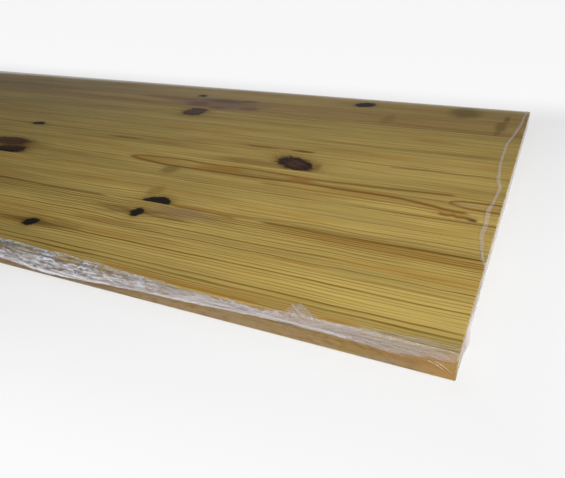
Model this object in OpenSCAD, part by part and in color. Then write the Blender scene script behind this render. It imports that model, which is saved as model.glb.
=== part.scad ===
// Laminated pine board in clear shrink film, lying flat on its face.
// The grain runs along X, the staves lie side by side along Y, the film is sealed along -Y.

/* [Board] */
// Length of the board along the grain
board_l = 1200; // [600:50:2400]
// Width of the board across the staves
board_w = 500; // [300:10:600]
// Thickness of the board
board_t = 18; // [14:1:30]
// Number of staves glued edge to edge
stave_count = 9; // [5:1:11]
// Width of the front stave, trimmed when the board was cut to its width
front_stave_w = 51; // [30:1:60]
// Sanded bevel along the outer edges of the board
arris = 0.6; // [0.3:0.1:1.5]

/* [Film] */
// Thickness of the shrink film
film_t = 0.1; // [0.05:0.05:0.3]
// Slack between the film and the board at the top, sides and ends
film_slack = 0.2; // [0.1:0.05:0.5]

/* [Front seal] */
// Share of the front face that the gathered flap hangs over
flap_share = 0.58; // [0.4:0.02:0.7]
// Thickness of the welded flap
flap_t = 0.3; // [0.2:0.05:0.6]
// Height that the flap stands above the top before it turns down
flap_lift = 0.9; // [0.6:0.1:2]
// Spacing of the main puckers along the flap
pucker_pitch = 23; // [16:1:40]
// Depth of the puckers, each way
pucker_depth = 1.3; // [0.6:0.1:2]
// Clearance between the deepest pucker and the front face
flap_clear = 0.5; // [0.4:0.1:1.5]

/* [End seals] */
// Width of the weld ribbon at each end
seam_w = 3; // [2:0.5:5]
// Thickness of the weld ribbon
seam_t = 0.4; // [0.2:0.1:0.8]
// Furthest that the ribbon at the +X end wanders in over the top
seam_reach = 12; // [6:1:20]
// Share of the width, from the front, where that ribbon lies on the end face
seam_split = 0.2; // [0.1:0.05:0.4]

/* [Hidden] */
// Width of each stave behind the front one
stave_w = (board_w - front_stave_w) / (stave_count - 1);
// Leg that a bevel gains for each millimetre its faces move out
bevel_gain = 2 - sqrt(2);
cavity_l = board_l + 2 * film_slack;
cavity_w = board_w + 2 * film_slack;
cavity_t = board_t + film_slack;
cavity_arris = arris + film_slack * bevel_gain;
skin_l = cavity_l + 2 * film_t;
skin_w = cavity_w + 2 * film_t;
skin_t = cavity_t + 2 * film_t;
skin_arris = cavity_arris + film_t * bevel_gain;
flap_drop = flap_share * board_t;
flap_stand = pucker_depth + flap_clear + flap_t;
// Depth that welds reach into the skin, so that they are one with it
weld_in = film_t + film_slack;
// Length of one straight step along the flap and along a ribbon
flap_step = 8;
seam_step = 12;
flap_stations = ceil(skin_l / flap_step);
seam_stations = ceil(skin_w / seam_step);

module bevelled_rect(a, b, leg) {
    polygon([
        [-a / 2 + leg, -b / 2], [a / 2 - leg, -b / 2],
        [a / 2, -b / 2 + leg], [a / 2, b / 2 - leg],
        [a / 2 - leg, b / 2], [-a / 2 + leg, b / 2],
        [-a / 2, b / 2 - leg], [-a / 2, -b / 2 + leg]
    ]);
}

// Box on its base at z = 0, with all twelve edges bevelled
module bevelled_box(l, w, t, leg) {
    intersection() {
        linear_extrude(t)
            bevelled_rect(l, w, leg);
        rotate([90, 0, 0])
            linear_extrude(w, center = true)
                translate([0, t / 2])
                    bevelled_rect(l, t, leg);
        rotate([90, 0, 90])
            linear_extrude(l, center = true)
                translate([0, t / 2])
                    bevelled_rect(w, t, leg);
    }
}

module board_blank() {
    translate([0, 0, film_t])
        bevelled_box(board_l, board_w, board_t, arris);
}

// Distance of a stave's front side from the front edge of the board
function stave_front(i) = i == 1 ? 0 : front_stave_w + (i - 2) * stave_w;

// One stave of the board, counted from the front edge
module stave(i) {
    color("burlywood")
        intersection() {
            board_blank();
            translate([-board_l / 2, -board_w / 2 + stave_front(i), 0])
                cube([board_l, stave_front(i + 1) - stave_front(i), skin_t]);
        }
}

// Wave of the gathers, from -1 to 1, with no repeat along the flap
function pucker(x, turn) =
    0.5 * sin(360 * x / pucker_pitch + turn)
    + 0.3 * sin(360 * x / (0.62 * pucker_pitch) + 2 * turn)
    + 0.2 * sin(360 * x / (2.7 * pucker_pitch) - turn);

// Middle line of the flap at x, from the weld inside the arris to the free edge, as [out, up]
function flap_line(x) = [
    [-weld_in - arris, -weld_in - arris],
    [0.6 * flap_lift, 0.8 * flap_lift],
    [flap_stand + 0.4 * pucker_depth * pucker(x, 0), flap_lift * (0.2 + 0.3 * pucker(x, 90))],
    [flap_stand + pucker_depth * pucker(x, 140), -0.5 * flap_drop],
    [flap_stand + pucker_depth * pucker(x, 250), -flap_drop * (0.9 + 0.1 * pucker(x, 40))]
];

// Unit vector across a line at one of its points
function across(line, i) =
    let (run = line[min(i + 1, len(line) - 1)] - line[max(i - 1, 0)])
    [run[1], -run[0]] / norm(run);

// Closed outline of the flap at x
function flap_ring(x) =
    let (line = flap_line(x), last = len(line) - 1)
    concat(
        [for (i = [0:last]) line[i] + across(line, i) * flap_t / 2],
        [for (i = [last:-1:0]) line[i] - across(line, i) * flap_t / 2]
    );

// Gathered weld flap that hangs over the upper part of the front face
module front_flap() {
    rings = [for (k = [0:flap_stations]) flap_ring(skin_l * (k / flap_stations - 0.5))];
    size = len(rings[0]);
    half = size / 2;
    points = [
        for (k = [0:flap_stations]) for (q = rings[k])
            [skin_l * (k / flap_stations - 0.5), -skin_w / 2 - q[0], skin_t + q[1]]
    ];
    sides = [
        for (k = [0:flap_stations - 1]) for (i = [0:size - 1])
            let (a = k * size + i, b = k * size + (i + 1) % size)
            each [[a, b, b + size], [a, b + size, a + size]]
    ];
    caps = [
        for (base = [0, flap_stations * size]) for (i = [0:half - 2])
            let (a = base + i, c = base + size - 1 - i)
            each base == 0
                ? [[a, c, c - 1], [a, c - 1, a + 1]]
                : [[a, c - 1, c], [a, a + 1, c - 1]]
    ];
    polyhedron(points = points, faces = concat(sides, caps));
}

// Distance of the +X ribbon's middle from the end, at s from the split (0) to the back (1)
function seam_inset(s) =
    seam_w / 2 + (seam_reach - seam_w / 2) * sqrt(s) * (1 - 0.7 * pow(s, 8));

// Part of the +X weld ribbon that lies on the top
module seam_on_top() {
    y_split = skin_w * (seam_split - 0.5);
    y_run = skin_w / 2 - skin_arris - y_split;
    path = [for (k = [0:seam_stations]) [
        skin_l / 2 - seam_inset(k / seam_stations),
        y_split + y_run * k / seam_stations
    ]];
    translate([0, 0, skin_t - weld_in])
        linear_extrude(weld_in + seam_t)
            polygon(concat(
                [for (p = path) p - [seam_w / 2, 0]],
                [for (k = [seam_stations:-1:0]) path[k] + [seam_w / 2, 0]]
            ));
}

// Part of the +X weld ribbon that lies on the end face, from the arris down to half height
module seam_on_end() {
    y_front = -skin_w / 2 + skin_arris;
    y_run = skin_w * (seam_split - 0.5) + seam_w - y_front;
    path = [for (k = [0:seam_stations]) [
        y_front + y_run * k / seam_stations,
        skin_t / 2 + (skin_t / 2 - seam_w / 2 + seam_t) * pow(k / seam_stations, 3)
    ]];
    translate([skin_l / 2 - weld_in, 0, 0])
        rotate([90, 0, 90])
            linear_extrude(weld_in + seam_t)
                polygon(concat(
                    [for (p = path) p - [0, seam_w / 2]],
                    [for (k = [seam_stations:-1:0]) path[k] + [0, seam_w / 2]]
                ));
}

// Straight weld ribbon at half height of the -X end
module seam_at_left() {
    translate([-skin_l / 2 - seam_t, -skin_w / 2 + skin_arris, skin_t / 2 - seam_w / 2])
        cube([seam_t + weld_in, skin_w - 2 * skin_arris, seam_w]);
}

// One film around the board, closed by the front flap and the two end ribbons
module shrink_film() {
    color("gainsboro", 0.35)
        difference() {
            union() {
                bevelled_box(skin_l, skin_w, skin_t, skin_arris);
                front_flap();
                seam_on_top();
                seam_on_end();
                seam_at_left();
            }
            translate([0, 0, film_t])
                bevelled_box(cavity_l, cavity_w, cavity_t, cavity_arris);
        }
}

for (i = [1:stave_count])
    stave(i);
shrink_film();
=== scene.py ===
"""Laminated pine board in clear shrink film, lying on a plain floor."""
import math

import bpy
import numpy as np
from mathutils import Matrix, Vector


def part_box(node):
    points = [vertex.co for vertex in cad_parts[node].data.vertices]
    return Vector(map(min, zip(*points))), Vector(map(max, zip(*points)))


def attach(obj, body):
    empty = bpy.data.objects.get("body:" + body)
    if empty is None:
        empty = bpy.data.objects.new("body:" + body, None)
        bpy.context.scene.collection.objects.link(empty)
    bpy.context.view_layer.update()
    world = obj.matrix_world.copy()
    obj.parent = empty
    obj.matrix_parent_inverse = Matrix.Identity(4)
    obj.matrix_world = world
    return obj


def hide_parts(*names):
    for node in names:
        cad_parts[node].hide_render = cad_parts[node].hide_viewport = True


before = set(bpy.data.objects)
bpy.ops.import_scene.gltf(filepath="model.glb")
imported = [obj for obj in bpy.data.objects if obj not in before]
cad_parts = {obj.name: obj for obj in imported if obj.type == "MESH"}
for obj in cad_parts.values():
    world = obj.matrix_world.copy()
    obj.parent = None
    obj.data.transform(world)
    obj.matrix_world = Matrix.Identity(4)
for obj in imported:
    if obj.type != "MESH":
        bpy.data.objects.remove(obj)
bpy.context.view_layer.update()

# Sizes of the board from the frame, in millimetres
STAVES = 9
STAVE_NAMES = [f"stave_{number}" for number in range(1, STAVES + 1)]
STAVE_BOXES = [[1000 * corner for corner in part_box(name)] for name in STAVE_NAMES]
BOARD_L = STAVE_BOXES[0][1].x - STAVE_BOXES[0][0].x
BOARD_W = STAVE_BOXES[-1][1].y - STAVE_BOXES[0][0].y
BOARD_LOW = STAVE_BOXES[0][0].z
BOARD_TOP = STAVE_BOXES[0][1].z
BOARD_T = BOARD_TOP - BOARD_LOW

# Camera at the photograph's viewing angle
CAMERA_AT = (0.6217, -0.5019, 0.2159)
CAMERA_TURN_DEG = (62.22, 1.925, 24.95)
CAMERA_LENS_MM = 36.3
CAMERA_SENSOR_MM = 36.0
CAMERA_SEES = (0.01, 200.0)

# Pine colours, in linear light
EARLY_WOOD = (0.590, 0.430, 0.125, 1)
LATE_WOOD = (0.240, 0.128, 0.008, 1)
ORANGE_WOOD = (0.470, 0.225, 0.030, 1)
RUST_WOOD = (0.245, 0.098, 0.004, 1)
BROWN_WOOD = (0.140, 0.066, 0.008, 1)
HALO_WOOD = (0.250, 0.138, 0.026, 1)
PINK_WOOD = (0.300, 0.170, 0.110, 1)
RED_WOOD = (0.260, 0.105, 0.060, 1)
OLIVE_WOOD = (0.230, 0.150, 0.028, 1)
PALE_WOOD = (0.640, 0.500, 0.220, 1)
SAWN_WOOD = (0.420, 0.270, 0.100, 1)
SIDE_WOOD = (0.520, 0.360, 0.185, 1)
HONEY_WOOD = (0.640, 0.355, 0.075, 1)
KNOT_DARK = (0.010, 0.006, 0.004, 1)
KNOT_BROWN = (0.085, 0.034, 0.018, 1)
KNOT_RED = (0.095, 0.036, 0.014, 1)
KNOT_PURPLE = (0.135, 0.078, 0.050, 1)


class Graph:
    """Adds shader nodes to a tree and links them."""

    def __init__(self, tree):
        self.tree = tree

    def node(self, kind, **settings):
        made = self.tree.nodes.new(kind)
        for name, value in settings.items():
            setattr(made, name, value)
        return made

    def feed(self, socket, value):
        if isinstance(value, bpy.types.NodeSocket):
            self.tree.links.new(value, socket)
        else:
            socket.default_value = value

    def math(self, operation, *values, clamp=False):
        made = self.node("ShaderNodeMath", operation=operation, use_clamp=clamp)
        for socket, value in zip(made.inputs, values):
            self.feed(socket, value)
        return made.outputs[0]

    def add(self, a, b):
        return self.math("ADD", a, b)

    def sub(self, a, b):
        return self.math("SUBTRACT", a, b)

    def mul(self, a, b):
        return self.math("MULTIPLY", a, b)

    def div(self, a, b):
        return self.math("DIVIDE", a, b)

    def bell(self, value):
        """exp of minus the square, 1 at zero."""
        return self.math("EXPONENT", self.mul(self.mul(value, value), -1.0))

    def length2(self, a, b):
        return self.math("SQRT", self.add(self.mul(a, a), self.mul(b, b)))

    def step(self, value, low, high):
        """Smooth rise from 0 at low to 1 at high."""
        made = self.node("ShaderNodeMapRange", interpolation_type="SMOOTHSTEP")
        self.feed(made.inputs["Value"], value)
        self.feed(made.inputs["From Min"], low)
        self.feed(made.inputs["From Max"], high)
        return made.outputs["Result"]

    def drop(self, value, low, high):
        """Smooth fall from 1 at low to 0 at high."""
        return self.sub(1.0, self.step(value, low, high))

    def mix(self, factor, a, b, blend="MIX"):
        made = self.node("ShaderNodeMix", data_type="RGBA", blend_type=blend)
        self.feed(made.inputs["Factor"], factor)
        self.feed(made.inputs[6], a)
        self.feed(made.inputs[7], b)
        return made.outputs[2]

    def split(self, vector):
        made = self.node("ShaderNodeSeparateXYZ")
        self.feed(made.inputs[0], vector)
        return made.outputs[0], made.outputs[1], made.outputs[2]

    def noise(self, place, size, seed, detail=2.0, rough=0.5):
        """Noise centred on zero, with features of the given size along each axis."""
        scaled = self.node("ShaderNodeVectorMath", operation="MULTIPLY_ADD")
        self.feed(scaled.inputs[0], place)
        scaled.inputs[1].default_value = [1.0 / s for s in size]
        scaled.inputs[2].default_value = (seed * 7.31, seed * 3.17, seed * 5.73)
        made = self.node("ShaderNodeTexNoise", noise_dimensions="3D")
        self.feed(made.inputs["Vector"], scaled.outputs[0])
        made.inputs["Scale"].default_value = 1.0
        made.inputs["Detail"].default_value = detail
        made.inputs["Roughness"].default_value = rough
        return self.sub(made.outputs[0], 0.5)

    def curve(self, value, points):
        """Smooth function through the points, which are in order of their first number."""
        start, end = points[0][0], points[-1][0]
        low = min(height for _, height in points) - 0.5
        high = max(height for _, height in points) + 0.5
        made = self.node("ShaderNodeFloatCurve")
        knots = made.mapping.curves[0].points
        for _ in range(len(points) - 2):
            knots.new(0.5, 0.5)
        for knot, (run, height) in zip(knots, points):
            knot.location = ((run - start) / (end - start), (height - low) / (high - low))
            knot.handle_type = "AUTO_CLAMPED"
        made.mapping.update()
        self.feed(made.inputs["Value"], self.div(self.sub(value, start), end - start))
        return self.add(self.mul(made.outputs[0], high - low), low)


def new_material(name):
    material = bpy.data.materials.new(name)
    material.use_nodes = True
    material.node_tree.nodes.clear()
    return material, Graph(material.node_tree)


def surface(graph, shader):
    output = graph.node("ShaderNodeOutputMaterial")
    graph.tree.links.new(shader, output.inputs["Surface"])


def board_place(graph):
    """Millimetres along the grain from the +X end, across from the front edge, and up."""
    coords = graph.node("ShaderNodeTexCoord")
    place = graph.node("ShaderNodeVectorMath", operation="MULTIPLY_ADD")
    graph.feed(place.inputs[0], coords.outputs["Object"])
    place.inputs[1].default_value = (-1000.0, 1000.0, 1000.0)
    place.inputs[2].default_value = (BOARD_L / 2, BOARD_W / 2, -BOARD_LOW)
    return place.outputs[0], coords.outputs["Normal"]


class Knot:
    """A branch cut through, at a place on the top face."""

    def __init__(self, along, across, half_l, half_w, core=KNOT_BROWN, rim=KNOT_DARK,
                 halo=0.6, streak=0.0, push=4.0, lean=0.25, turn=0.0, hollow=0.0, ragged=0.75):
        self.along = along
        self.across = across
        self.half_l = half_l
        self.half_w = half_w
        self.core = core
        self.rim = rim
        self.halo = halo
        self.streak = streak
        self.push = push
        self.lean = lean
        self.turn = turn
        self.hollow = hollow
        self.ragged = ragged


class Mark:
    """A soft patch of another colour on the top face, with fine ripples where it has any."""

    def __init__(self, along, across, half_l, half_w, colour, strength=0.6,
                 edge=0.5, ragged=0.35, ripple=0.0):
        self.along = along
        self.across = across
        self.half_l = half_l
        self.half_w = half_w
        self.colour = colour
        self.strength = strength
        self.edge = edge
        self.ragged = ragged
        self.ripple = ripple


class Line:
    """A grain line drawn through points (along, across) on the top face."""

    def __init__(self, points, half_w, colour, strength, fade=8.0):
        self.points = points
        self.half_w = half_w
        self.colour = colour
        self.strength = strength
        self.fade = fade


class Stave:
    """How one stave was cut from the log, and what shows on it."""

    def __init__(self, pith, gap_front, gap_back, contrast=1.0, tint=(1, 1, 1, 1), wander=2.0,
                 knots=(), marks=(), lines=()):
        self.pith = pith
        self.gap_front = gap_front
        self.gap_back = gap_back
        self.contrast = contrast
        self.tint = tint
        self.wander = wander
        self.knots = knots
        self.marks = marks
        self.lines = lines


# The staves from the front edge to the back, with what shows on each in millimetres
STAVE_LIST = [
    Stave(pith=(-70, 26), gap_front=3.0, gap_back=4.2, contrast=1.25, wander=3.0, knots=[
        Knot(348.5, 39, 6.5, 6.5, core=KNOT_DARK, halo=0.7, streak=0.9, push=4.0),
        Knot(742, 21, 9, 7, halo=0.5, push=4.0),
        Knot(1015, 35, 6, 5, core=KNOT_DARK, halo=0.6, push=3.0),
    ], lines=[
        Line([(52, 3.5), (66, 4.5), (84, 3.5)], 1.4, ORANGE_WOOD, 0.8),
        Line([(118, 3.5), (180, 4.5), (250, 6.5)], 1.6, ORANGE_WOOD, 0.8),
    ], marks=[
        Mark(330, 44, 30, 4, OLIVE_WOOD, 0.5),
    ]),
    Stave(pith=(-60, 30), gap_front=4.2, gap_back=3.3, contrast=1.3, wander=4.5, knots=[
        Knot(277, 86, 5.5, 7.4, core=KNOT_DARK, halo=0.8, streak=0.8, push=7.0, turn=-0.2),
        Knot(910, 78, 10, 8, halo=0.6, push=5.0),
    ], marks=[
        Mark(240, 97, 30, 9, PINK_WOOD, 0.5),
        Mark(300, 88, 22, 3.4, OLIVE_WOOD, 0.7),
        Mark(246, 84.5, 22, 2.6, OLIVE_WOOD, 0.65),
        Mark(285, 63, 40, 4, HALO_WOOD, 0.4),
        Mark(70, 98, 90, 7, ORANGE_WOOD, 0.36),
        Mark(60, 97, 80, 5, HALO_WOOD, 0.2),
        Mark(118, 58, 22, 1.6, ORANGE_WOOD, 0.5),
        Mark(202, 97, 15, 9, HALO_WOOD, 0.4, ripple=3.4),
    ], lines=[
        Line([(-6, 106.4), (52, 105.4), (94, 104.2), (135, 105.0), (176, 106.2)], 1.9, BROWN_WOOD, 0.8, 14),
        Line([(322, 105.2), (380, 104.4), (420, 104.2), (520, 105.6)], 1.7, BROWN_WOOD, 0.75, 14),
        Line([(190, 103.5), (225, 106.5), (258, 106.5)], 1.2, RUST_WOOD, 0.6),
    ]),
    Stave(pith=(120, -14), gap_front=4.0, gap_back=5.0, contrast=0.85, wander=3.5, knots=[
        Knot(274, 107.5, 14, 12, core=KNOT_DARK, halo=0.7, push=5.0, ragged=0.35),
        Knot(660, 140, 12, 10, halo=0.6, push=5.0),
    ], marks=[
        Mark(232, 109.5, 30, 2.2, ORANGE_WOOD, 0.6),
        Mark(290, 130, 7, 10, OLIVE_WOOD, 0.45),
        Mark(245, 121, 24, 5, PINK_WOOD, 0.2),
    ], lines=[
        Line([(-6, 113), (52, 114.4), (80, 113.1), (124, 115.8), (152, 113.9), (174, 111.1), (197, 109.4),
              (219, 110.3), (238, 110.8), (262, 108.4)], 0.9, RUST_WOOD, 0.55),
        Line([(-6, 109.5), (60, 109), (150, 108.6)], 0.9, BROWN_WOOD, 0.4, 14),
    ]),
    Stave(pith=(-80, 24), gap_front=4.4, gap_back=5.6, contrast=0.65, wander=4.0, knots=[
        Knot(521, 173, 20, 13, core=KNOT_DARK, halo=0.9, push=6.0),
        Knot(543, 194, 26, 11, core=BROWN_WOOD, rim=KNOT_BROWN, halo=0.9, push=5.0),
        Knot(985, 190, 13, 11, halo=0.6, push=6.0),
    ], marks=[
        Mark(262, 198, 26, 7, ORANGE_WOOD, 0.7),
        Mark(340, 200, 32, 5, ORANGE_WOOD, 0.5),
        Mark(176, 198, 12, 6, ORANGE_WOOD, 0.85),
        Mark(220, 198, 60, 7, HALO_WOOD, 0.3),
        Mark(34, 171, 17, 3, ORANGE_WOOD, 0.6),
        Mark(309, 180, 9, 11, OLIVE_WOOD, 0.6),
        Mark(535, 190, 26, 14, HALO_WOOD, 0.6),
        Mark(22, 194, 16, 5, PALE_WOOD, 0.4),
    ], lines=[
        Line([(36, 210.5), (52, 209.4), (94, 206.1), (130, 204.7), (158, 203.3), (197, 205.3), (238, 207.2),
              (280, 206), (313, 208), (345, 206.5), (376, 202.5)], 2.2, RUST_WOOD, 0.85),
        Line([(20, 178.3), (35, 178.9), (52, 183), (74, 187.8), (94, 190), (135, 190.6), (174, 191.9),
              (205, 190), (247, 189.4), (302, 189.4), (344, 193), (376, 200.5)], 2.7, RUST_WOOD, 0.95),
        Line([(-6, 202.4), (12, 201.9), (24, 201.1), (35, 199.2), (42, 195.8)], 2.0, RUST_WOOD, 0.95, 1.5),
        Line([(-6, 186.4), (12, 187), (24, 187.8), (35, 191.4), (42, 194.8)], 2.0, RUST_WOOD, 0.95, 1.5),
        Line([(36, 173), (50, 177), (94, 178.9), (160, 179.5), (215, 180)], 1.5, RUST_WOOD, 0.65, 16),
        Line([(40, 169), (58, 172.5), (94, 173.2), (160, 172.5)], 0.9, LATE_WOOD, 0.6, 16),
        Line([(13, 166.6), (20, 168.0), (25, 169.8), (30, 169.6), (34, 171.4), (38, 170.4), (47, 172.5)],
             2.6, KNOT_BROWN, 1.0, 4.0),
    ]),
    Stave(pith=(90, -18), gap_front=6.2, gap_back=5.2, contrast=0.62, wander=4.0, knots=[
        Knot(199, 236, 23, 13.5, core=KNOT_RED, halo=0.95, push=7.0, turn=0.55, hollow=0.45),
        Knot(568, 261, 9, 5.5, core=KNOT_DARK, halo=0.5, push=3.0),
        Knot(800, 246, 15, 13, halo=0.7, push=6.0),
    ], marks=[
        Mark(246, 227, 34, 8, HALO_WOOD, 0.55),
        Mark(176, 232, 5, 10, HALO_WOOD, 0.6),
        Mark(206, 272.5, 12, 2.8, BROWN_WOOD, 0.85, 0.5, 0.5),
        Mark(254, 271.5, 16, 3.2, BROWN_WOOD, 0.45, 0.5, 0.5),
        Mark(421, 250, 24, 3.4, BROWN_WOOD, 0.5),
    ], lines=[
        Line([(-6, 260.8), (24, 262.2), (47, 260.3), (69, 261.4), (88, 259.4), (112, 257)],
             1.2, BROWN_WOOD, 0.6),
        Line([(38, 266), (70, 266.5), (98, 264.5)], 1.0, BROWN_WOOD, 0.3, 14),
        Line([(190, 273), (240, 273.5), (290, 272.5)], 0.7, BROWN_WOOD, 0.5, 20),
    ]),
    Stave(pith=(-90, 12), gap_front=9.0, gap_back=7.0, contrast=0.48, wander=4.0, marks=[
        Mark(40, 318, 60, 4, OLIVE_WOOD, 0.25),
    ], lines=[
        Line([(-6, 311), (60, 312), (140, 311), (233, 313)], 3.4, OLIVE_WOOD, 0.45, 40),
    ], knots=[
        Knot(1080, 303, 12, 10, halo=0.6, push=5.0),
    ]),
    Stave(pith=(100, 20), gap_front=8.0, gap_back=10.0, contrast=0.45, wander=4.0, marks=[
        Mark(85, 348, 22, 9, ORANGE_WOOD, 0.25),
    ], lines=[
        Line([(-6, 386), (150, 386), (300, 386.4)], 1.6, PALE_WOOD, 0.5, 60),
    ], knots=[
        Knot(402.5, 371, 14.5, 17, core=KNOT_PURPLE, rim=KNOT_BROWN, halo=0.7, push=5.0),
        Knot(870, 356, 13, 12, halo=0.6, push=5.0),
    ]),
    Stave(pith=(26, -22), gap_front=7.0, gap_back=7.0, contrast=0.35, wander=5.0,
          tint=(0.85, 0.77, 0.83, 1), marks=[
        Mark(394, 418, 66, 24, PINK_WOOD, 0.8),
        Mark(392, 431, 26, 8, KNOT_PURPLE, 0.6),
        Mark(358, 438, 12, 5, BROWN_WOOD, 0.55),
        Mark(422, 408, 15, 11, RED_WOOD, 0.7),
        Mark(384, 397, 15, 6, RED_WOOD, 0.6),
        Mark(340, 404, 13, 9, RED_WOOD, 0.6),
        Mark(485, 427, 44, 8, BROWN_WOOD, 0.35),
        Mark(155, 414, 7, 20, HALO_WOOD, 0.35),
        Mark(26, 425, 6, 20, OLIVE_WOOD, 0.75),
        Mark(27, 398, 3.4, 10, OLIVE_WOOD, 0.5),
    ], knots=[
        Knot(905, 412, 12, 10, halo=0.6, push=5.0),
    ]),
    Stave(pith=(-80, -16), gap_front=9.0, gap_back=13.0, contrast=0.35, wander=4.0,
          tint=(0.97, 0.93, 0.99, 1), knots=[
        Knot(201, 471, 14, 10.5, core=KNOT_DARK, halo=0.4, push=4.0, turn=-0.55),
        Knot(439, 447.5, 7, 6.5, core=KNOT_DARK, halo=0.4, push=3.0),
        Knot(955, 472, 10, 9, halo=0.5, push=4.0),
    ], marks=[
        Mark(72, 470, 18, 22, OLIVE_WOOD, 0.8),
        Mark(22.5, 456, 3.4, 13, OLIVE_WOOD, 0.75),
    ]),
]


# How the growth rings wander, in millimetres along, across and up
SLOW_WANDER = (210, 70, 60)
FINE_WANDER = (34, 12, 14)

# How uneven the rings are, where in a ring the late wood lies, and how strong it is at least
RING_UNEVEN = 1.4
LATE_RISE = (0.30, 0.88)
LATE_DROP = (0.90, 1.0)
LATE_PATCH = (90, 9, 20)
LATE_LEAST = 0.3

# Sizes of the wood's fibres and patches, in millimetres along, across and up
FIBRE_SIZE = (55, 0.7, 0.7)
PATCH_SIZE = (150, 16, 25)
BROAD_SIZE = (320, 30, 60)

# Sizes of what shows on the planed long sides, and how far the warm +X end reaches
MOTTLE_SIZE = (30, 5, 4)
STREAK_SIZE = (110, 6, 3.2)
SPECK_SIZE = (8, 3.0, 2.2)
WARM_END = (4, 34)

# How fast the stain round a knot fades, far out and close to it, and the rings in it
HALO_FALL = -1.9
CLOSE_FALL = -6.0
KNOT_RINGS = 17.0


def push_aside(graph, place, across, knots):
    """The across coordinate with the grain bent round the knots."""
    along, level, _ = graph.split(place)
    bent = across
    for knot in knots:
        run = graph.div(graph.sub(along, knot.along), 3.4 * knot.half_l)
        side = graph.sub(level, knot.across)
        fall = graph.mul(graph.bell(run), graph.bell(graph.div(side, 2.4 * knot.half_w)))
        way = graph.div(side, graph.add(graph.math("ABSOLUTE", side), 2.0))
        bent = graph.sub(bent, graph.mul(graph.mul(fall, way), knot.push))
    return bent


def growth_rings(graph, place, stave, index):
    """Share of dark late wood, 0 to 1, from the distance to the pith of the log."""
    _, across, up = graph.split(place)
    start = STAVE_BOXES[index][0].y + BOARD_W / 2
    width = STAVE_BOXES[index][1].y - STAVE_BOXES[index][0].y
    bent = push_aside(graph, place, across, stave.knots)
    slow = graph.mul(graph.noise(place, SLOW_WANDER, index + 1.0, 2.0), 2 * stave.wander)
    fine = graph.mul(graph.noise(place, FINE_WANDER, index + 21.0, 1.0), 0.55 * stave.wander)
    bent = graph.add(bent, graph.add(slow, fine))
    off_y = graph.sub(bent, start + stave.pith[0])
    off_z = graph.sub(up, BOARD_T + stave.pith[1])
    radius = graph.length2(off_y, off_z)
    before = stave.pith[0] < width / 2
    near = max(0.0, abs(stave.pith[0] - width / 2) - width / 2)
    low, high = (stave.gap_front, stave.gap_back) if before else (stave.gap_back, stave.gap_front)
    depth = graph.sub(radius, near)
    gain = (1 / high - 1 / low) / (2 * width)
    turns = graph.mul(depth, graph.add(graph.mul(depth, gain), 1 / low))
    uneven = graph.node("ShaderNodeTexNoise", noise_dimensions="1D")
    graph.feed(uneven.inputs["W"], graph.add(graph.mul(turns, 0.37), 13.7 * (index + 1)))
    uneven.inputs["Scale"].default_value = 1.0
    uneven.inputs["Detail"].default_value = 0.0
    turns = graph.add(turns, graph.mul(graph.sub(uneven.outputs[0], 0.5), RING_UNEVEN))
    ring = graph.math("FLOOR", turns)
    phase = graph.sub(turns, ring)
    lot = graph.node("ShaderNodeTexWhiteNoise", noise_dimensions="1D")
    graph.feed(lot.inputs["W"], graph.add(ring, 31.0 * (index + 1)))
    rise = graph.step(phase, *LATE_RISE)
    share = graph.mul(graph.mul(rise, rise), graph.drop(phase, *LATE_DROP))
    patchy = graph.add(graph.mul(graph.noise(place, LATE_PATCH, index + 31.0, 2.0), 2.6), 0.95)
    by_ring = graph.add(graph.mul(lot.outputs[0], 1.0 - LATE_LEAST), LATE_LEAST)
    return graph.mul(graph.mul(share, patchy), by_ring)


def ellipse(graph, place, spot, lean, turn=0.0):
    """Distance from a spot in its own half sizes, 1 on its edge, and the place along its axes."""
    along, across, up = graph.split(place)
    run = graph.sub(graph.sub(along, spot.along), graph.mul(graph.sub(BOARD_T, up), lean))
    side = graph.sub(across, spot.across)
    cos_t, sin_t = math.cos(turn), math.sin(turn)
    u = graph.add(graph.mul(run, cos_t / spot.half_l), graph.mul(side, sin_t / spot.half_l))
    v = graph.sub(graph.mul(side, cos_t / spot.half_w), graph.mul(run, sin_t / spot.half_w))
    return graph.length2(u, v), u, v


def add_mark(graph, colour, place, mark, seed):
    rough = graph.noise(place, (14, 5, 5), seed, 2.0)
    away, u, v = ellipse(graph, place, mark, 0.2)
    away = graph.add(away, graph.mul(rough, 2 * mark.ragged))
    share = graph.drop(away, 1.0 - mark.edge, 1.0 + mark.edge)
    if mark.ripple:
        arcs = graph.length2(graph.add(u, 1.6), graph.mul(graph.add(v, 1.2), 0.3))
        wave = graph.math("SINE", graph.mul(arcs, 2 * math.pi * mark.half_l / mark.ripple))
        share = graph.mul(share, graph.add(graph.mul(wave, 0.5), 0.5))
    return graph.mix(graph.mul(share, mark.strength), colour, mark.colour)


def add_line(graph, colour, place, line, seed):
    along, across, _ = graph.split(place)
    sway = graph.mul(graph.noise(place, (16, 8, 8), seed, 1.0), 1.2)
    off = graph.sub(graph.add(across, sway), graph.curve(along, line.points))
    start, end = line.points[0][0], line.points[-1][0]
    fade_in = graph.step(along, start, start + line.fade)
    fade_out = graph.drop(along, end - line.fade, end)
    share = graph.mul(graph.bell(graph.div(off, line.half_w)), graph.mul(fade_in, fade_out))
    return graph.mix(graph.mul(share, line.strength), colour, line.colour)


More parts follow.
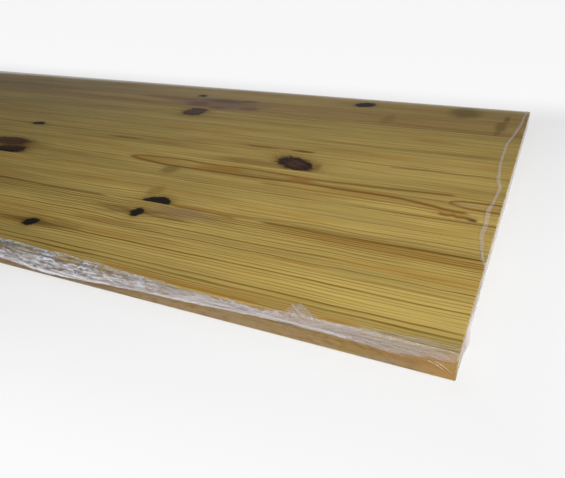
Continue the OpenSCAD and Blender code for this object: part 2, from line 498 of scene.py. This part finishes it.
def add_knot(graph, colour, place, knot, seed):
    rough = graph.noise(place, (5, 4, 6), seed, 2.0)
    fibre = graph.noise(place, (8, 1.1, 1.1), seed + 0.5, 2.0)
    away, u, v = ellipse(graph, place, knot, knot.lean, knot.turn)
    away = graph.add(away, graph.mul(graph.add(rough, fibre), knot.ragged))
    outside = graph.math("MAXIMUM", graph.sub(away, 0.9), 0.0)
    halo = graph.math("EXPONENT", graph.mul(outside, HALO_FALL))
    colour = graph.mix(graph.mul(halo, knot.halo), colour, HALO_WOOD)
    close = graph.math("EXPONENT", graph.mul(outside, CLOSE_FALL))
    colour = graph.mix(graph.mul(close, 0.7 * knot.halo), colour, BROWN_WOOD)
    if knot.streak:
        tail = graph.mul(graph.bell(graph.mul(u, 0.2)), graph.bell(graph.mul(v, 1.9)))
        colour = graph.mix(graph.mul(tail, knot.streak), colour, BROWN_WOOD)
    rings = graph.math("SINE", graph.add(graph.mul(away, KNOT_RINGS), graph.mul(rough, 6.0)))
    heart = graph.mix(graph.add(graph.mul(rings, 0.25), 0.35), knot.core, knot.rim)
    if knot.hollow:
        middle = graph.drop(away, 0.15, 0.6)
        heart = graph.mix(graph.mul(middle, knot.hollow), heart, KNOT_PURPLE)
    edge = graph.bell(graph.div(graph.sub(away, 0.86), 0.2))
    heart = graph.mix(graph.mul(edge, 0.85), heart, knot.rim)
    crack = graph.bell(graph.div(graph.add(v, graph.mul(rough, 0.5)), 0.07))
    crack = graph.mul(crack, graph.drop(away, 0.5, 0.9))
    heart = graph.mix(graph.mul(crack, 0.7), heart, KNOT_DARK)
    return graph.mix(graph.drop(away, 0.88, 1.1), colour, heart)


def pine(index, stave):
    """Pine with growth rings in depth, fibres, knots and stains for one stave."""
    material, graph = new_material(f"pine_stave_{index + 1}")
    place, normal = board_place(graph)
    along, across, _ = graph.split(place)
    late = growth_rings(graph, place, stave, index)
    colour = graph.mix(graph.mul(late, stave.contrast), EARLY_WOOD, LATE_WOOD)
    patches = graph.noise(place, PATCH_SIZE, index + 41.0, 3.0)
    colour = graph.mix(graph.math("MAXIMUM", graph.mul(patches, 2.2), 0.0), colour, ORANGE_WOOD)
    fibres = graph.noise(place, FIBRE_SIZE, index + 61.0, 3.0, 0.6)
    broad = graph.noise(place, BROAD_SIZE, index + 81.0, 2.0)
    shade = graph.mul(graph.add(fibres, 1.0), graph.add(graph.mul(broad, 0.8), 1.0))
    grey = graph.node("ShaderNodeCombineXYZ")
    for socket in grey.inputs:
        graph.feed(socket, shade)
    colour = graph.mix(1.0, colour, grey.outputs[0], "MULTIPLY")
    if stave.tint != (1, 1, 1, 1):
        colour = graph.mix(1.0, colour, stave.tint, "MULTIPLY")
    for number, line in enumerate(stave.lines):
        colour = add_line(graph, colour, place, line, 151.0 + 10 * index + number)
    for number, mark in enumerate(stave.marks):
        colour = add_mark(graph, colour, place, mark, 301.0 + 10 * index + number)
    for number, knot in enumerate(stave.knots):
        colour = add_knot(graph, colour, place, knot, 501.0 + 10 * index + number)
    normal_x, normal_y, _ = graph.split(normal)
    sawn = graph.step(graph.math("ABSOLUTE", normal_x), 0.8, 0.95)
    colour = graph.mix(graph.mul(sawn, 0.45), colour, SAWN_WOOD)
    planed = graph.step(graph.math("ABSOLUTE", normal_y), 0.8, 0.95)
    mottle = graph.step(graph.noise(place, MOTTLE_SIZE, index + 91.0, 3.0), -0.22, 0.1)
    colour = graph.mix(graph.mul(planed, mottle), colour, SIDE_WOOD)
    streaks = graph.step(graph.noise(place, STREAK_SIZE, index + 97.0, 2.0), 0.03, 0.15)
    colour = graph.mix(graph.mul(planed, graph.mul(streaks, 0.7)), colour, ORANGE_WOOD)
    specks = graph.step(graph.noise(place, SPECK_SIZE, index + 95.0, 3.0, 0.7), -0.02, 0.12)
    colour = graph.mix(graph.mul(planed, graph.mul(specks, 0.42)), colour, RUST_WOOD)
    warm_end = graph.mul(graph.drop(along, *WARM_END), 0.85)
    colour = graph.mix(graph.mul(planed, warm_end), colour, HONEY_WOOD)
    front = STAVE_BOXES[index][0].y + BOARD_W / 2
    back = STAVE_BOXES[index][1].y + BOARD_W / 2
    to_glue = graph.math("MINIMUM", graph.sub(across, front), graph.sub(back, across))
    colour = graph.mix(graph.mul(graph.drop(to_glue, 0.05, 0.45), 0.35), colour, BROWN_WOOD)
    shader = graph.node("ShaderNodeBsdfPrincipled")
    graph.feed(shader.inputs["Base Color"], colour)
    shader.inputs["Specular IOR Level"].default_value = 0.06
    graph.feed(shader.inputs["Roughness"], graph.sub(0.62, graph.mul(late, 0.12)))
    bump = graph.node("ShaderNodeBump")
    bump.inputs["Strength"].default_value = 0.25
    bump.inputs["Distance"].default_value = 0.0002
    graph.feed(bump.inputs["Height"], graph.add(fibres, graph.mul(late, 0.6)))
    graph.feed(shader.inputs["Normal"], bump.outputs[0])
    surface(graph, shader.outputs[0])
    return material


def dress_staves():
    for index, stave in enumerate(STAVE_LIST):
        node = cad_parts[STAVE_NAMES[index]]
        node.data.materials.clear()
        node.data.materials.append(pine(index, stave))


# Film around the board, in millimetres
EDGE_R = 1.0
ARC = math.pi * EDGE_R / 4
FILM_GAP = 0.25
FRONT_Y = -BOARD_W / 2 - FILM_GAP
BACK_Y = BOARD_W / 2 + FILM_GAP
TOP_Z = BOARD_TOP + FILM_GAP
LOW_Z = BOARD_LOW / 2
END_X = BOARD_L / 2 + FILM_GAP
WELD_Z = TOP_Z - 3.0
FILM_GLOSS = 0.03
CLEAR_FILM = (0.95, 0.95, 0.96, 1)
COOL_FILM = (0.90, 0.93, 1.00, 1)
WARM_FILM = (0.96, 0.89, 0.88, 1)

# How the gathered weld changes along the front edge, from the +X end
GATHER_AT = [0, 45, 75, 100, 150, 210, 260, 1200]
GATHER_RISE = [0.2, 0.6, 0.8, 1.0, 1.0, 1.3, 1.5, 1.5]
GATHER_FOLDS = [0.25, 0.5, 0.4, 0.3, 0.5, 1.1, 1.7, 1.7]
GATHER_HAZE = [0.11, 0.17, 0.28, 0.42, 0.42, 0.40, 0.48, 0.48]
GATHER_DULL = [1, 1, 1, 1, 0.9, 0.6, 0.3, 0.3]

# How far the gathered weld reaches over the top and down the front, where the photograph shows it
REACH_AT = [0, 20, 40, 60, 100, 120, 160, 200, 240, 280, 300, 340, 380]
REACH_OVER = [9, 8.5, 6.5, 3, 0.3, -0.4, 0, 2, 3.5, 6, 6.5, 7.5, 6]
REACH_DOWN = [5, 7, 8, 7, 6, 6.2, 8.5, 9.6, 11.5, 13.4, 13.8, 11, 10]

# Distance of the +X weld ribbon in from the end, below zero where it lies on the end face
RIBBON_ACROSS = [0, 50, 80, 101, 107, 144, 162, 190, 202, 230, 244, 252, 298, 360, 388, 449, 500]
RIBBON_INSET = [-8.5, -5, -2, -0.5, 3.0, 8.7, 7.5, 9.9, 7.8, 6.2, 6.8, 9.4, 12.8, 13.6, 10.1, 5.0, 4.0]

# Sizes of the gathers along the front edge and across it, from long streaks to tiny crinkles
STREAK_CELL = (46, 1.5)
FOLD_CELL = (12, 3.0)
CRINKLE_CELL = (6.5, 1.9)
TINY_CELL = (3.2, 1.3)
STRAND_COUNT = 46

# Sections of a fold: places across it, and the share of its height there
RIDGE = ((-1.0, -0.5, 0.0, 0.5, 1.0), (0.0, 0.7, 1.0, 0.7, 0.0))
LIP = ((-1.0, -0.3, 0.4, 0.75, 0.9, 1.0), (0.0, 0.35, 0.8, 1.0, 0.55, 0.0))


def lattice_noise(x, y, seed):
    """Smooth noise from -1 to 1 over points one unit apart, the same on each run."""
    table = np.random.RandomState(seed).rand(256, 256) * 2 - 1
    cell_x = np.floor(x).astype(int)
    cell_y = np.floor(y).astype(int)
    part_x = x - cell_x
    part_y = y - cell_y
    ease_x = part_x * part_x * (3 - 2 * part_x)
    ease_y = part_y * part_y * (3 - 2 * part_y)
    corner = [[table[(cell_x + i) % 256, (cell_y + j) % 256] for j in (0, 1)] for i in (0, 1)]
    low = corner[0][0] * (1 - ease_x) + corner[1][0] * ease_x
    high = corner[0][1] * (1 - ease_x) + corner[1][1] * ease_x
    return low * (1 - ease_y) + high * ease_y


def crease(x, y, seed):
    """Noise with sharp crests, from 0 to 1."""
    return 1 - np.abs(lattice_noise(x, y, seed))


def bell(value):
    return np.exp(-value * value)


class Film:
    """Collects the sheets of the film, in millimetres, with their haze."""

    def __init__(self):
        self.points = []
        self.haze = []
        self.dull = []
        self.faces = []
        self.smooth = []
        self.count = 0

    def sheet(self, points, haze, smooth=True, dull=1.0):
        """Adds a grid of points, rows by columns, smooth or in facets."""
        rows, columns = points.shape[:2]
        number = self.count + np.arange(rows * columns).reshape(rows, columns)
        quads = np.stack([number[:-1, :-1], number[1:, :-1], number[1:, 1:], number[:-1, 1:]], -1)
        self.points.append(points.reshape(-1, 3))
        self.haze.append(np.broadcast_to(haze, (rows, columns)).reshape(-1))
        self.dull.append(np.broadcast_to(dull, (rows, columns)).reshape(-1))
        self.faces.append(quads.reshape(-1, 4))
        self.smooth.append(np.full(quads.size // 4, smooth))
        self.count += rows * columns

    def build(self, name, material):
        points = np.concatenate(self.points) / 1000.0
        faces = np.concatenate(self.faces)
        mesh = bpy.data.meshes.new(name)
        mesh.from_pydata(points.tolist(), [], faces.tolist())
        for label, values in (("haze", self.haze), ("dull", self.dull)):
            layer = mesh.attributes.new(label, "FLOAT", "POINT")
            layer.data.foreach_set("value", np.concatenate(values).astype(np.float32))
        mesh.polygons.foreach_set("use_smooth", np.concatenate(self.smooth))
        mesh.materials.append(material)
        mesh.update()
        thing = bpy.data.objects.new(name, mesh)
        bpy.context.scene.collection.objects.link(thing)
        return thing


def round_edge(w):
    """How far a sheet has turned over an edge, and what is left of w on the flat either side."""
    on_arc = np.clip(w, -ARC, ARC)
    return on_arc / EDGE_R + math.pi / 4, w - on_arc


def over_front(along, w, lift):
    """Point w in from the front arris on the top, or down the front face where w is negative."""
    turn, rest = round_edge(w)
    y = FRONT_Y + EDGE_R - (EDGE_R + lift) * np.cos(turn) + np.maximum(rest, 0)
    z = TOP_Z - EDGE_R + (EDGE_R + lift) * np.sin(turn) + np.minimum(rest, 0)
    x = BOARD_L / 2 - along
    return np.stack(np.broadcast_arrays(x, y, z), -1)


def over_end(across, w, lift, way):
    """Point w in from an end's arris on the top, or down the end face where w is negative."""
    turn, rest = round_edge(w)
    x = END_X - EDGE_R + (EDGE_R + lift) * np.cos(turn) - np.maximum(rest, 0)
    z = TOP_Z - EDGE_R + (EDGE_R + lift) * np.sin(turn) + np.minimum(rest, 0)
    y = -BOARD_W / 2 + across
    return np.stack(np.broadcast_arrays(way * x, y, z), -1)


def over_right_end(across, w, lift):
    return over_end(across, w, lift, 1)


def over_left_end(across, w, lift):
    return over_end(across, w, lift, -1)


def skin_loop():
    """Places and normals round the board in the YZ plane, from the weld down the front and back to it."""
    def arc(y, z, start):
        turn = np.radians(np.linspace(start, start + 90, 6)[1:-1])
        return [(y + EDGE_R * np.cos(t), z + EDGE_R * np.sin(t), np.cos(t), np.sin(t)) for t in turn]

    def line(y0, z0, y1, z1, normal, count):
        share = np.linspace(0, 1, count)
        return [(y0 + (y1 - y0) * s, z0 + (z1 - z0) * s, *normal) for s in share]

    near, far = FRONT_Y + EDGE_R, BACK_Y - EDGE_R
    low, high = LOW_Z + EDGE_R, TOP_Z - EDGE_R
    loop = line(FRONT_Y, WELD_Z, FRONT_Y, low, (-1, 0), 10)
    loop += arc(near, low, 180)
    loop += line(near, LOW_Z, far, LOW_Z, (0, -1), 10)
    loop += arc(far, low, 270)
    loop += line(BACK_Y, low, BACK_Y, high, (1, 0), 4)
    loop += arc(far, high, 0)
    loop += line(far, TOP_Z, near + 40, TOP_Z, (0, 1), 24)
    loop += line(near + 38, TOP_Z, near, TOP_Z, (0, 1), 20)
    loop += arc(near, high, 90)
    loop += line(FRONT_Y, high, FRONT_Y, WELD_Z, (-1, 0), 3)
    return np.array(loop)


def add_skin(film):
    """The film that lies tight round the board."""
    loop = skin_loop()
    turn = np.radians(np.linspace(90, 0, 5)[:-1])
    body = np.linspace(-END_X + EDGE_R, END_X - EDGE_R, 301)
    round_x = EDGE_R * np.sin(turn)
    round_in = EDGE_R * (1 - np.cos(turn))
    x = np.concatenate([body[0] - round_x, body, (body[-1] + round_x)[::-1]])
    inset = np.concatenate([round_in, 0 * body, round_in[::-1]])
    gx, gy = np.meshgrid(x, loop[:, 0], indexing="ij")
    gz = np.broadcast_to(loop[:, 1], gx.shape)
    ny = np.broadcast_to(loop[:, 2], gx.shape)
    nz = np.broadcast_to(loop[:, 3], gx.shape)
    from_front = gy - FRONT_Y
    wave = 0.12 * (1 + lattice_noise(gx / 70, gy / 60, 3))
    pulled = 0.4 + 0.6 * (lattice_noise(gx / 60, 0 * gy, 5) > 0.1)
    pulls = np.clip(crease(gx / 7 + from_front / 20, from_front / 45, 4) - 0.5, 0, 1)
    pulls = 0.5 * pulls * bell(from_front / 16) * pulled
    lift = np.where(nz > 0.5, wave + pulls, 0.0)
    to_corner = np.hypot(END_X - gx, gz - LOW_Z)
    spokes = np.clip(crease(np.arctan2(gz - LOW_Z, END_X - gx) * 5.5, to_corner / 30, 6) - 0.45, 0, 1)
    lift = np.where(ny < -0.5, np.maximum(lift, 0.9 * spokes * bell(to_corner / 30)), lift)
    lift = lift - inset[:, None]
    points = np.stack([gx, gy + ny * lift, gz + nz * lift], -1)
    haze = 0.004 + 0.12 * np.clip(lift - 0.3, 0, 1)
    film.sheet(points[::-1], haze[::-1])


def add_end_panel(film, way):
    """The film over one end face, standing off it a little."""
    y = np.linspace(FRONT_Y + EDGE_R, BACK_Y - EDGE_R, 160)
    z = np.linspace(LOW_Z + EDGE_R, TOP_Z - EDGE_R, 9)
    gy, gz = np.meshgrid(y, z, indexing="ij")
    edge = np.sin(np.pi * (gz - z[0]) / (z[-1] - z[0]))
    edge = edge * np.clip((gy - y[0]) / 6, 0, 1) * np.clip((y[-1] - gy) / 6, 0, 1)
    bulge = 0.45 * crease(gy / 26, gz / 14, 11)
    if way > 0:
        bulge = bulge + 1.9 * bell((gy + BOARD_W / 2 - 27) / 9)
    x = END_X + edge * bulge
    points = np.stack([way * x, gy, gz], -1)
    film.sheet(points if way > 0 else points[::-1], 0.1 + 0.22 * bulge)


def add_strand(film, place, run, w, half_width, height, haze, section=RIDGE, dull=1.0):
    """A thin fold of film along a line of (run, w) on the edge that place() turns over."""
    side = np.array(section[0])
    slope_run = np.gradient(run)
    slope_w = np.gradient(w)
    length = np.hypot(slope_run, slope_w)
    r = run[:, None] - (slope_w / length * half_width)[:, None] * side
    ww = w[:, None] + (slope_run / length * half_width)[:, None] * side
    ridge = height * np.array(section[1]) * (0.85 + 0.3 * lattice_noise(r / 4, ww / 2, 17))
    film.sheet(place(r, ww, 0.12 + ridge), haze, True, dull)


def add_end_seams(film):
    """The weld ribbons: wandering over the +X end, straight at the other."""
    across = np.linspace(1, BOARD_W - 1, 400)
    inset = np.interp(across, RIBBON_ACROSS, RIBBON_INSET)
    inset = np.convolve(np.pad(inset, 3, mode="edge"), np.ones(7) / 7, "valid")
    inset = inset + 0.3 * lattice_noise(across / 9, 0 * across, 19)
    width = 1.5 + 0.4 * lattice_noise(across / 30, 0 * across, 18)
    add_strand(film, over_right_end, across, inset, width, 0.8, 0.2, LIP)
    plain = -BOARD_T / 2 + 0.5 * lattice_noise(across / 24, 0 * across, 20)
    add_strand(film, over_left_end, across, plain, width, 0.7, 0.2, LIP)


def gather_reach(along):
    """How far the gathered weld reaches in over the top and down the front, at each place along."""
    hidden = along > REACH_AT[-1]
    plain_over = 5 + 2.2 * lattice_noise(along / 70, 0 * along, 31)
    plain_down = 10.5 + 2.5 * lattice_noise(along / 85, 0 * along, 32)
    over = np.where(hidden, plain_over, np.interp(along, REACH_AT, REACH_OVER))
    down = np.where(hidden, plain_down, np.interp(along, REACH_AT, REACH_DOWN))
    return over, down


def add_gather(film, seed, start, end, bulge, stations, columns, clouding, smooth):
    """One crumpled layer of the gathered weld along the front edge."""
    along = np.linspace(-0.2, BOARD_L + 0.2, stations)
    over, down = gather_reach(along)
    ga, gv = np.meshgrid(along, np.linspace(start, end, columns), indexing="ij")
    ragged = lattice_noise(along / 8, 0 * along, seed)
    ragged = ragged + 0.6 * lattice_noise(along / 3, 0 * along, seed + 1)
    over = over + 0.9 * ragged
    down = down + 0.5 * lattice_noise(along / 21, 0 * along, seed + 2)
    w = over[:, None] - gv * (over + down)[:, None]
    rise = np.interp(along, GATHER_AT, GATHER_RISE)[:, None]
    folds = np.interp(along, GATHER_AT, GATHER_FOLDS)[:, None]
    haze = np.interp(along, GATHER_AT, GATHER_HAZE)[:, None]
    edge = np.sin(np.pi * np.clip(gv * 0.86, 0, 1)) ** 0.7
    sway = 1.2 * lattice_noise(ga / 38, 0 * ga, seed + 8)
    streak = crease(ga / STREAK_CELL[0], w / STREAK_CELL[1] + sway, seed + 4)
    fold = crease(ga / FOLD_CELL[0] + w / 7, w / FOLD_CELL[1], seed + 5)
    crinkle = crease(ga / CRINKLE_CELL[0] - w / 4, w / CRINKLE_CELL[1], seed + 6)
    tiny = crease(ga / TINY_CELL[0] + w / 2.5, w / TINY_CELL[1], seed + 7)
    crumple = 0.55 * streak + folds * (0.75 * fold + 0.5 * crinkle + 0.22 * tiny)
    lift = 0.15 + edge * (bulge * rise + 0.95 * crumple * np.clip(ga / 60, 0.3, 1))
    bright = np.clip(3.6 * (0.4 * streak + 0.35 * crinkle + 0.25 * tiny) - 2.0, 0, 1.4)
    crests = np.minimum(folds + 0.35, 1.6) * bright
    cloud = clouding * haze * (0.1 + crests + 0.4 * np.clip(1 - folds, 0, 1))
    cloud = cloud * np.clip(gv * 7 + 0.5 * folds, 0.25, 1) * (1 + 0.6 * np.clip(gv * 4 - 3, 0, 1))
    clear_patch = np.clip(2.2 * lattice_noise(ga / 24, w / 4, seed + 9) + 0.2, 0, 1)
    clear_patch = clear_patch * np.clip(folds - 0.5, 0, 1)
    cloud = cloud * (1 - 0.75 * clear_patch)
    dull = np.interp(along, GATHER_AT, GATHER_DULL)[:, None]
    film.sheet(over_front(ga, w, lift), cloud, smooth, dull)


def add_gather_strands(film):
    """Long twisted folds in the gathered weld."""
    draw = np.random.RandomState(77)
    for number in range(STRAND_COUNT):
        length = draw.uniform(45, 150)
        first = draw.uniform(50, BOARD_L - length - 10)
        along = np.arange(first, first + length, 1.6)
        over, down = gather_reach(along)
        share = draw.uniform(0.1, 0.95) + draw.uniform(-0.25, 0.25) * np.linspace(0, 1, len(along))
        share = np.clip(share + 0.07 * lattice_noise(along / 16, 0 * along + number, 53), 0.03, 1.0)
        w = over - share * (over + down)
        rise = np.interp(along, GATHER_AT, GATHER_RISE) * np.sin(np.pi * np.clip(0.86 * share, 0, 1))
        taper = np.clip(np.sin(np.pi * np.linspace(0.02, 0.98, len(along))) * 2.5, 0.15, 1)
        height = draw.uniform(0.5, 1.1)

        def place(r, ww, lift, rise=rise):
            return over_front(r, ww, lift + 1.2 * rise[:, None] + 0.3)

        dull = np.interp(along, GATHER_AT, GATHER_DULL)[:, None]
        half_width = draw.uniform(0.4, 0.9) * taper
        add_strand(film, place, along, w, half_width, height, draw.uniform(0.15, 0.45), RIDGE, dull)
    along = np.arange(62, BOARD_L - 4, 1.8)
    over, down = gather_reach(along)
    stand = 0.9 * np.interp(along, GATHER_AT, GATHER_RISE)

    def hem_place(r, ww, lift):
        return over_front(r, ww, lift + stand[:, None] + 0.3)

    wave = 0.5 * lattice_noise(along / 21, 0 * along, 83) + 0.5 * lattice_noise(along / 6, 0 * along, 84)
    width = 0.75 + 0.4 * lattice_noise(along / 11, 0 * along, 85)
    cloudy = 0.5 + 0.3 * lattice_noise(along / 17, 0 * along, 86)
    add_strand(film, hem_place, along, 1.0 - down + wave, width, 0.5, cloudy[:, None])


def add_peak(film):
    """The triangular fold that stands on the top beside the gathered weld, with its strands."""
    right, left, tip, depth = 81.0, 104.0, 97.0, 12.5
    s, t = np.meshgrid(np.linspace(0, 1, 26), np.linspace(0, 1, 22), indexing="ij")
    along = (right + (left - right) * s) * (1 - t) + tip * t
    folds = crease(s * 5 + t, t * 2.5, 41)
    lift = 0.2 + 0.9 * (1 - t) * folds + 0.7 * np.sin(np.pi * s) * (1 - t)
    film.sheet(over_front(along, depth * t, lift), 0.12 + 0.26 * np.clip(2 * folds - 1, 0, 1))
    strands = [
        (97.0, 12.5, 80.0, 0.5, 0.34, 0.30),
        (97.8, 11.2, 88.5, 0.5, 0.30, 0.12),
        (100.5, 9.0, 90.5, 0.0, 0.55, 0.45),
        (102.5, 7.0, 95.0, 0.0, 0.30, 0.25),
    ]
    for from_along, from_w, to_along, to_w, half_width, haze in strands:
        run = np.linspace(from_along, to_along, 24)
        w = np.linspace(from_w, to_w, 24) + 0.45 * lattice_noise(run / 3, 0 * run + from_w, 43)
        add_strand(film, over_front, run, w, half_width + 0 * run, 0.6, haze)


def add_corner_folds(film):
    """Folds that fan out from the gathered weld to the +X corner."""
    fans = [
        (66, 0.5, 0.0, 4.6, 0.5, 0.4, 0.10),
        (78, -0.4, 0.0, 1.2, 0.8, 0.6, 0.22),
        (74, -2.4, 4.0, -2.2, 0.6, 0.5, 0.20),
        (72, -4.0, 24.0, -5.2, 0.7, 0.5, 0.20),
        (70, -5.6, 34.0, -9.0, 0.6, 0.5, 0.18),
        (52, -5.0, 28.0, -9.8, 0.5, 0.4, 0.12),
        (16, -8.0, 6.0, -12.0, 0.4, 0.4, 0.14),
        (12, -7.4, 2.0, -12.5, 0.4, 0.4, 0.14),
    ]
    for number, (from_along, from_w, to_along, to_w, half_width, height, haze) in enumerate(fans):
        s = np.linspace(0, 1, 44)
        along = from_along + (to_along - from_along) * s
        w = from_w + (to_w - from_w) * s ** 1.4 + 0.4 * lattice_noise(along / 9, 0 * along + number, 51)
        add_strand(film, over_front, along, w, half_width * (1 - 0.4 * s), height, haze)


def clear_film():
    """Glossy clear film that turns milky where it is gathered."""
    material, graph = new_material("clear_film")
    layer = graph.node("ShaderNodeAttribute", attribute_name="haze")
    haze = layer.outputs["Fac"]
    facing = graph.node("ShaderNodeLayerWeight")
    facing.inputs["Blend"].default_value = 0.5
    gloss = graph.mul(graph.math("POWER", facing.outputs["Facing"], 5.0), 0.7)
    share = graph.math("ADD", graph.add(haze, FILM_GLOSS), gloss, clamp=True)
    milky = graph.step(haze, 0.01, 0.12)
    shader = graph.node("ShaderNodeBsdfPrincipled")
    dull = graph.node("ShaderNodeAttribute", attribute_name="dull").outputs["Fac"]
    tint = graph.mix(dull, COOL_FILM, WARM_FILM)
    graph.feed(shader.inputs["Base Color"], graph.mix(milky, CLEAR_FILM, tint))
    graph.feed(shader.inputs["Metallic"], graph.sub(1.0, graph.mul(graph.mul(milky, dull), 0.9)))
    graph.feed(shader.inputs["Roughness"], graph.add(graph.mul(milky, 0.12), 0.06))
    clear = graph.node("ShaderNodeBsdfTransparent")
    both = graph.node("ShaderNodeMixShader")
    graph.feed(both.inputs[0], share)
    graph.tree.links.new(clear.outputs[0], both.inputs[1])
    graph.tree.links.new(shader.outputs[0], both.inputs[2])
    surface(graph, both.outputs[0])
    return material


def make_film():
    film = Film()
    add_skin(film)
    add_end_panel(film, 1)
    add_end_panel(film, -1)
    add_end_seams(film)
    add_gather(film, seed=61, start=0.0, end=1.0, bulge=0.7, stations=1100, columns=30,
               clouding=1.0, smooth=True)
    add_gather(film, seed=81, start=0.1, end=0.92, bulge=1.1, stations=800, columns=18,
               clouding=0.8, smooth=False)
    add_gather_strands(film)
    add_peak(film)
    add_corner_folds(film)
    wrap = film.build("film_wrap", clear_film())
    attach(wrap, "root")
    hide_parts("shrink_film")


# Floor under the board, in metres
FLOOR_HALF = 60.0
FLOOR_Z = -0.0002
FLOOR_PALE = (0.92, 0.92, 0.92, 1)

# Share of plain white in the floor's look beside the board, what is added away from it, and how far off
WHITE_NEAR = 0.62
WHITE_MORE = 0.30
WHITE_REACH = 0.16


def make_floor():
    """Pale floor that shows soft shadows and stays light towards the camera."""
    material, graph = new_material("floor")
    matte = graph.node("ShaderNodeBsdfDiffuse")
    matte.inputs["Color"].default_value = FLOOR_PALE
    coords = graph.node("ShaderNodeTexCoord")
    east, north, _ = graph.split(coords.outputs["Object"])
    beside = graph.sub(graph.math("ABSOLUTE", east), 0.0005 * BOARD_L)
    before = graph.sub(graph.math("ABSOLUTE", north), 0.0005 * BOARD_W)
    away = graph.step(graph.math("MAXIMUM", beside, before), 0.0, WHITE_REACH)
    shown = graph.add(graph.mul(away, WHITE_MORE), WHITE_NEAR)
    glow = graph.node("ShaderNodeEmission")
    glow.inputs["Strength"].default_value = 1.0
    path = graph.node("ShaderNodeLightPath")
    seen = graph.math("MAXIMUM", path.outputs["Is Camera Ray"], path.outputs["Is Glossy Ray"])
    seen = graph.math("MAXIMUM", seen, path.outputs["Is Transmission Ray"])
    both = graph.node("ShaderNodeMixShader")
    graph.feed(both.inputs[0], graph.mul(seen, shown))
    graph.tree.links.new(matte.outputs[0], both.inputs[1])
    graph.tree.links.new(glow.outputs[0], both.inputs[2])
    surface(graph, both.outputs[0])
    half = FLOOR_HALF
    corners = [(-half, -half, 0), (half, -half, 0), (half, half, 0), (-half, half, 0)]
    mesh = bpy.data.meshes.new("floor")
    mesh.from_pydata(corners, [], [(0, 1, 2, 3)])
    floor = bpy.data.objects.new("floor", mesh)
    bpy.context.scene.collection.objects.link(floor)
    floor.location.z = FLOOR_Z
    mesh.materials.append(material)


# Brightness and blue of the room by the sine of the height above the horizon
ROOM_LIGHT = [
    (0.00, 0.96, 1.04),
    (0.12, 0.80, 1.04),
    (0.16, 0.36, 1.10),
    (0.19, 0.24, 1.10),
    (0.28, 0.08, 1.00),
    (0.65, 0.04, 0.90),
    (0.90, 0.12, 1.00),
]

# How much darker the room is towards -X, from which height and between which directions
DIM_SHARE = 0.9
DIM_RISE = (0.12, 0.18)
DIM_EAST = (-0.92, -0.50)

# Softboxes: name, place, target, size in metres, power in watts, spread in degrees
SOFTBOXES = [
    ("key", (1.02, -0.74, 0.74), (0.59, -0.23, 0.0), 0.7, 1.28, 47),
    ("fill", (-0.9, -0.25, 1.25), (-0.65, 0.02, 0.0), 1.2, 1.35, 90),
    ("back", (0.1, 0.70, 1.50), (0.64, -0.20, 0.0), 1.2, 0.58, 44),
]


def make_world():
    """Soft grey room, palest at the horizon and darker above it towards -X."""
    world = bpy.data.worlds.new("room")
    world.use_nodes = True
    world.node_tree.nodes.clear()
    graph = Graph(world.node_tree)
    coords = graph.node("ShaderNodeTexCoord")
    east, _, rise = graph.split(coords.outputs["Generated"])
    dim = graph.mul(graph.step(rise, *DIM_RISE), graph.drop(east, *DIM_EAST))
    ramp = graph.node("ShaderNodeValToRGB")
    graph.feed(ramp.inputs[0], rise)
    bands = ramp.color_ramp.elements
    for _ in ROOM_LIGHT[2:]:
        bands.new(0.5)
    for band, (height, level, blue) in zip(bands, ROOM_LIGHT):
        band.position = height
        band.color = (0.97 * level, level, blue * level, 1)
    light = graph.node("ShaderNodeBackground")
    graph.feed(light.inputs["Color"], ramp.outputs[0])
    graph.feed(light.inputs["Strength"], graph.sub(1.0, graph.mul(dim, DIM_SHARE)))
    output = graph.node("ShaderNodeOutputWorld")
    graph.tree.links.new(light.outputs[0], output.inputs["Surface"])
    bpy.context.scene.world = world


def aim(thing, target):
    """Turns a light so that it shines at a point."""
    way = [t - p for t, p in zip(target, thing.location)]
    flat = math.hypot(way[0], way[1])
    thing.rotation_euler = (math.atan2(flat, -way[2]), 0.0, math.atan2(-way[0], way[1]))


def add_softbox(name, at, target, size, power, spread):
    lamp = bpy.data.lights.new(name, "AREA")
    lamp.shape = "SQUARE"
    lamp.size = size
    lamp.energy = power
    lamp.spread = math.radians(spread)
    thing = bpy.data.objects.new(name, lamp)
    thing.location = at
    bpy.context.scene.collection.objects.link(thing)
    aim(thing, target)


def make_camera():
    camera = bpy.data.cameras.new("camera")
    camera.lens = CAMERA_LENS_MM
    camera.sensor_width = CAMERA_SENSOR_MM
    camera.sensor_fit = "HORIZONTAL"
    camera.clip_start, camera.clip_end = CAMERA_SEES
    thing = bpy.data.objects.new("camera", camera)
    thing.location = CAMERA_AT
    thing.rotation_euler = [math.radians(a) for a in CAMERA_TURN_DEG]
    bpy.context.scene.collection.objects.link(thing)
    bpy.context.scene.camera = thing


dress_staves()
make_film()
make_floor()
make_world()
for softbox in SOFTBOXES:
    add_softbox(*softbox)
make_camera()
bpy.context.scene.view_settings.view_transform = "Standard"
